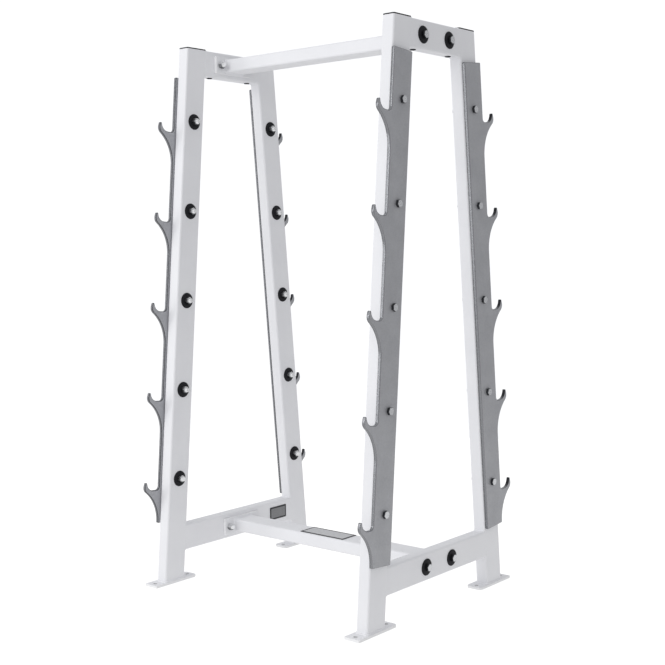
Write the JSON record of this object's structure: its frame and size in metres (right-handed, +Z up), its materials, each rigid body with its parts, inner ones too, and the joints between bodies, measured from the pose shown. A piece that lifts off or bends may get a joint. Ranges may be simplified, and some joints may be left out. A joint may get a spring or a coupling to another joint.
{
  "type": "barbell storage rack",
  "caption": "Free-standing two-sided storage rack: leaning end frames joined by crossbars carry hook plates whose throats hold stored barbells at both ends.",
  "frame": {"origin": "middle of the footprint, on the floor under the four foot plates", "axes": "+X along the stored bars towards the right end frame, -Y the front, +Z up"},
  "size_m": [0.8318, 0.7226, 1.5824],
  "materials": {
    "white_paint": "white powder coat, satin",
    "grey_hook_paint": "metallic grey coat on cut steel plate, satin",
    "zinc": "zinc-plated bolts and nuts, with a black plastic disc under each nut or head",
    "black_plastic": "black moulded plastic",
    "placard": "plain light sheet with a dark border, nothing printed on it",
    "nameplate": "plain dark grey sheet, nothing printed on it"
  },
  "bodies": {
    "root": {"upright_left_front": "white_paint", "foot_plate_left_front": "white_paint", "end_cap_left_front": "black_plastic", "hook_plate_left_front": "grey_hook_paint", "plug_left_front": "black_plastic", "plate_bolt_left_front_1": "zinc", "plate_bolt_left_front_2": "zinc", "plate_bolt_left_front_3": "zinc", "plate_bolt_left_front_4": "zinc", "plate_bolt_left_front_5": "zinc", "upright_left_rear": "white_paint", "foot_plate_left_rear": "white_paint", "end_cap_left_rear": "black_plastic", "hook_plate_left_rear": "grey_hook_paint", "plug_left_rear": "black_plastic", "plate_bolt_left_rear_1": "zinc", "plate_bolt_left_rear_2": "zinc", "plate_bolt_left_rear_3": "zinc", "plate_bolt_left_rear_4": "zinc", "plate_bolt_left_rear_5": "zinc", "upright_right_front": "white_paint", "foot_plate_right_front": "white_paint", "end_cap_right_front": "black_plastic", "hook_plate_right_front": "grey_hook_paint", "plug_right_front": "black_plastic", "plate_bolt_right_front_1": "zinc", "plate_bolt_right_front_2": "zinc", "plate_bolt_right_front_3": "zinc", "plate_bolt_right_front_4": "zinc", "plate_bolt_right_front_5": "zinc", "upright_right_rear": "white_paint", "foot_plate_right_rear": "white_paint", "end_cap_right_rear": "black_plastic", "hook_plate_right_rear": "grey_hook_paint", "plug_right_rear": "black_plastic", "plate_bolt_right_rear_1": "zinc", "plate_bolt_right_rear_2": "zinc", "plate_bolt_right_rear_3": "zinc", "plate_bolt_right_rear_4": "zinc", "plate_bolt_right_rear_5": "zinc", "cross_tube_left_upper": "white_paint", "flange_left_upper": "white_paint", "crossbar_bolt_left_upper_front": "zinc", "crossbar_bolt_left_upper_rear": "zinc", "cross_tube_left_lower": "white_paint", "flange_left_lower": "white_paint", "crossbar_bolt_left_lower_front": "zinc", "crossbar_bolt_left_lower_rear": "zinc", "cross_tube_right_upper": "white_paint", "flange_right_upper": "white_paint", "crossbar_bolt_right_upper_front": "zinc", "crossbar_bolt_right_upper_rear": "zinc", "cross_tube_right_lower": "white_paint", "flange_right_lower": "white_paint", "crossbar_bolt_right_lower_front": "zinc", "crossbar_bolt_right_lower_rear": "zinc", "crossbar_upper": "white_paint", "crossbar_lower": "white_paint", "placard": "placard", "nameplate": "nameplate"}
  },
  "joints": []
}
